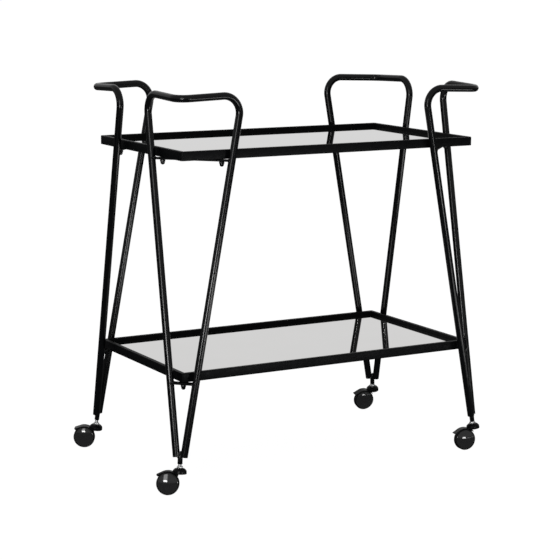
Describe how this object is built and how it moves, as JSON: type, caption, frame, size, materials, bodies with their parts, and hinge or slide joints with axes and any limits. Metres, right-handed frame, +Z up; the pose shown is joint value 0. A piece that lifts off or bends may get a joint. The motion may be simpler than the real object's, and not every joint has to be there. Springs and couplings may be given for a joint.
{
  "type": "bar cart",
  "caption": "Black tubular-steel bar cart with a mirrored tray and shelf, V-shaped corner legs that bend into handle loops, and hooded swivel casters.",
  "frame": {"origin": "on the floor, under the middle of the cart's bounding box with its casters trailing to the left, so the tray's middle stands a little to the right of it and in front of it", "axes": "+X along the cart, to the right as seen from its front long side; +Y from the front long side to the back one; +Z up"},
  "size_m": [0.8384, 0.4884, 0.8606],
  "materials": {
    "black_powder_coat": "semi-gloss black powder coat with a fine orange-peel texture",
    "black_nylon": "polished moulded nylon",
    "zinc_steel": "bright zinc-plated steel",
    "mirror": "clear float glass with a silvered back",
    "backing_board": "fibreboard sprayed matt black"
  },
  "bodies": {
    "frame": {"caster_front_left_socket": "black_powder_coat", "leg_tube_front_left": "black_powder_coat", "upper_brace_front_left": "black_powder_coat", "lower_brace_front_left": "black_powder_coat", "tray_nut_front_left_end": "black_powder_coat", "tray_nut_front_left_side": "black_powder_coat", "shelf_nut_front_left": "black_powder_coat", "caster_front_left_stem": "zinc_steel", "caster_front_right_socket": "black_powder_coat", "leg_tube_front_right": "black_powder_coat", "upper_brace_front_right": "black_powder_coat", "lower_brace_front_right": "black_powder_coat", "tray_nut_front_right_end": "black_powder_coat", "tray_nut_front_right_side": "black_powder_coat", "shelf_nut_front_right": "black_powder_coat", "caster_front_right_stem": "zinc_steel", "caster_back_left_socket": "black_powder_coat", "leg_tube_back_left": "black_powder_coat", "upper_brace_back_left": "black_powder_coat", "lower_brace_back_left": "black_powder_coat", "tray_nut_back_left_end": "black_powder_coat", "tray_nut_back_left_side": "black_powder_coat", "shelf_nut_back_left": "black_powder_coat", "caster_back_left_stem": "zinc_steel", "caster_back_right_socket": "black_powder_coat", "leg_tube_back_right": "black_powder_coat", "upper_brace_back_right": "black_powder_coat", "lower_brace_back_right": "black_powder_coat", "tray_nut_back_right_end": "black_powder_coat", "tray_nut_back_right_side": "black_powder_coat", "shelf_nut_back_right": "black_powder_coat", "caster_back_right_stem": "zinc_steel", "tray_frame": "black_powder_coat", "tray_board": "backing_board", "tray_mirror": "mirror", "shelf_frame": "black_powder_coat", "shelf_board": "backing_board", "shelf_mirror": "mirror"},
    "caster_front_left": {"caster_front_left_body": "black_nylon", "caster_front_left_axle": "zinc_steel"},
    "caster_front_left_wheel_left": {"caster_front_left_wheel_left": "black_nylon"},
    "caster_front_left_wheel_right": {"caster_front_left_wheel_right": "black_nylon"},
    "caster_front_right": {"caster_front_right_body": "black_nylon", "caster_front_right_axle": "zinc_steel"},
    "caster_front_right_wheel_left": {"caster_front_right_wheel_left": "black_nylon"},
    "caster_front_right_wheel_right": {"caster_front_right_wheel_right": "black_nylon"},
    "caster_back_left": {"caster_back_left_body": "black_nylon", "caster_back_left_axle": "zinc_steel"},
    "caster_back_left_wheel_left": {"caster_back_left_wheel_left": "black_nylon"},
    "caster_back_left_wheel_right": {"caster_back_left_wheel_right": "black_nylon"},
    "caster_back_right": {"caster_back_right_body": "black_nylon", "caster_back_right_axle": "zinc_steel"},
    "caster_back_right_wheel_left": {"caster_back_right_wheel_left": "black_nylon"},
    "caster_back_right_wheel_right": {"caster_back_right_wheel_right": "black_nylon"}
  },
  "joints": [
    {"name": "swivel_front_left", "type": "hinge", "parent": "frame", "child": "caster_front_left", "pos_m": [-0.37256, -0.23115, 0.02456], "axis": [0.0963, 0.0978, 0.9905], "continuous": true},
    {"name": "roll_front_left_left", "type": "hinge", "parent": "caster_front_left", "child": "caster_front_left_wheel_left", "pos_m": [-0.39371, -0.21881, 0.0254], "axis": [-0.4956, -0.8583, 0.1329], "continuous": true},
    {"name": "roll_front_left_right", "type": "hinge", "parent": "caster_front_left", "child": "caster_front_left_wheel_right", "pos_m": [-0.39371, -0.21881, 0.0254], "axis": [-0.4956, -0.8583, 0.1329], "continuous": true},
    {"name": "swivel_front_right", "type": "hinge", "parent": "frame", "child": "caster_front_right", "pos_m": [0.40588, -0.23082, 0.02795], "axis": [-0.0963, 0.0978, 0.9905], "continuous": true},
    {"name": "roll_front_right_left", "type": "hinge", "parent": "caster_front_right", "child": "caster_front_right_wheel_left", "pos_m": [0.38212, -0.22555, 0.02512], "axis": [-0.2243, -0.9717, 0.0741], "continuous": true},
    {"name": "roll_front_right_right", "type": "hinge", "parent": "caster_front_right", "child": "caster_front_right_wheel_right", "pos_m": [0.38212, -0.22555, 0.02512], "axis": [-0.2243, -0.9717, 0.0741], "continuous": true},
    {"name": "swivel_back_left", "type": "hinge", "parent": "frame", "child": "caster_back_left", "pos_m": [-0.37283, 0.21267, 0.02171], "axis": [0.0963, -0.0978, 0.9905], "continuous": true},
    {"name": "roll_back_left_left", "type": "hinge", "parent": "caster_back_left", "child": "caster_back_left_wheel_left", "pos_m": [-0.39392, 0.22471, 0.02495], "axis": [-0.4997, -0.8654, -0.0369], "continuous": true},
    {"name": "roll_back_left_right", "type": "hinge", "parent": "caster_back_left", "child": "caster_back_left_wheel_right", "pos_m": [-0.39392, 0.22471, 0.02495], "axis": [-0.4997, -0.8654, -0.0369], "continuous": true},
    {"name": "swivel_back_right", "type": "hinge", "parent": "frame", "child": "caster_back_right", "pos_m": [0.40596, 0.21214, 0.02707], "axis": [-0.0963, -0.0978, 0.9905], "continuous": true},
    {"name": "roll_back_right_left", "type": "hinge", "parent": "caster_back_right", "child": "caster_back_right_wheel_left", "pos_m": [0.3822, 0.21784, 0.02533], "axis": [-0.2234, -0.9676, -0.1173], "continuous": true},
    {"name": "roll_back_right_right", "type": "hinge", "parent": "caster_back_right", "child": "caster_back_right_wheel_right", "pos_m": [0.3822, 0.21784, 0.02533], "axis": [-0.2234, -0.9676, -0.1173], "continuous": true}
  ]
}
